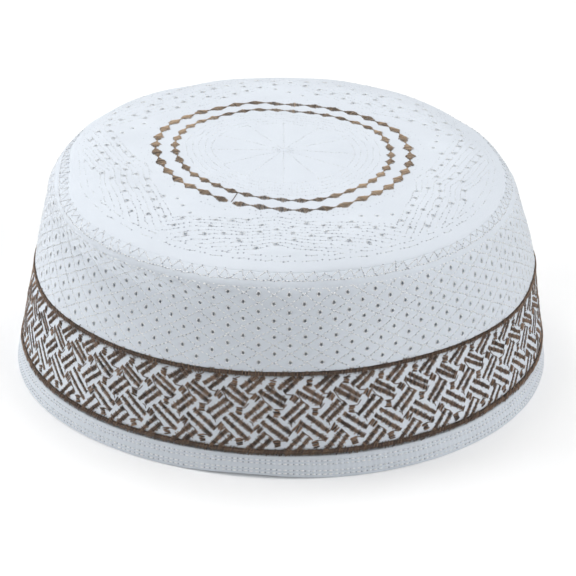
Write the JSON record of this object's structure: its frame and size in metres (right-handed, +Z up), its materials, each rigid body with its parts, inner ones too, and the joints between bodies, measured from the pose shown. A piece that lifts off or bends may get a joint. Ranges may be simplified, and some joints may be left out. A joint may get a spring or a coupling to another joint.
{
  "type": "embroidered prayer cap",
  "caption": "Round soft brimless cap with a flat stitched crown, a pierced quilted side, a stiff embroidered headband and a bound hem.",
  "frame": {"origin": "on the floor, under the middle of the cap", "axes": "+Z up through the crown; the front, as pictured, faces -Y; +X is to the right of the front view"},
  "size_m": [0.1874, 0.1921, 0.0785],
  "materials": {
    "crown_cotton": "white stitched cotton, matt",
    "side_cotton": "white quilted cotton with eyelets, matt",
    "band_cotton": "white stiffened cotton under embroidery, matt",
    "hem_cotton": "white binding with rows of straight stitches",
    "brown_satin": "brown rayon satin stitch, soft gloss"
  },
  "bodies": {
    "root": {"crown_panel": "crown_cotton", "side_panel": "side_cotton", "headband": "band_cotton", "hem_binding": "hem_cotton", "upper_border": "brown_satin", "lower_border": "brown_satin", "outer_diamond_ring": "brown_satin", "inner_diamond_ring": "brown_satin"}
  },
  "joints": []
}
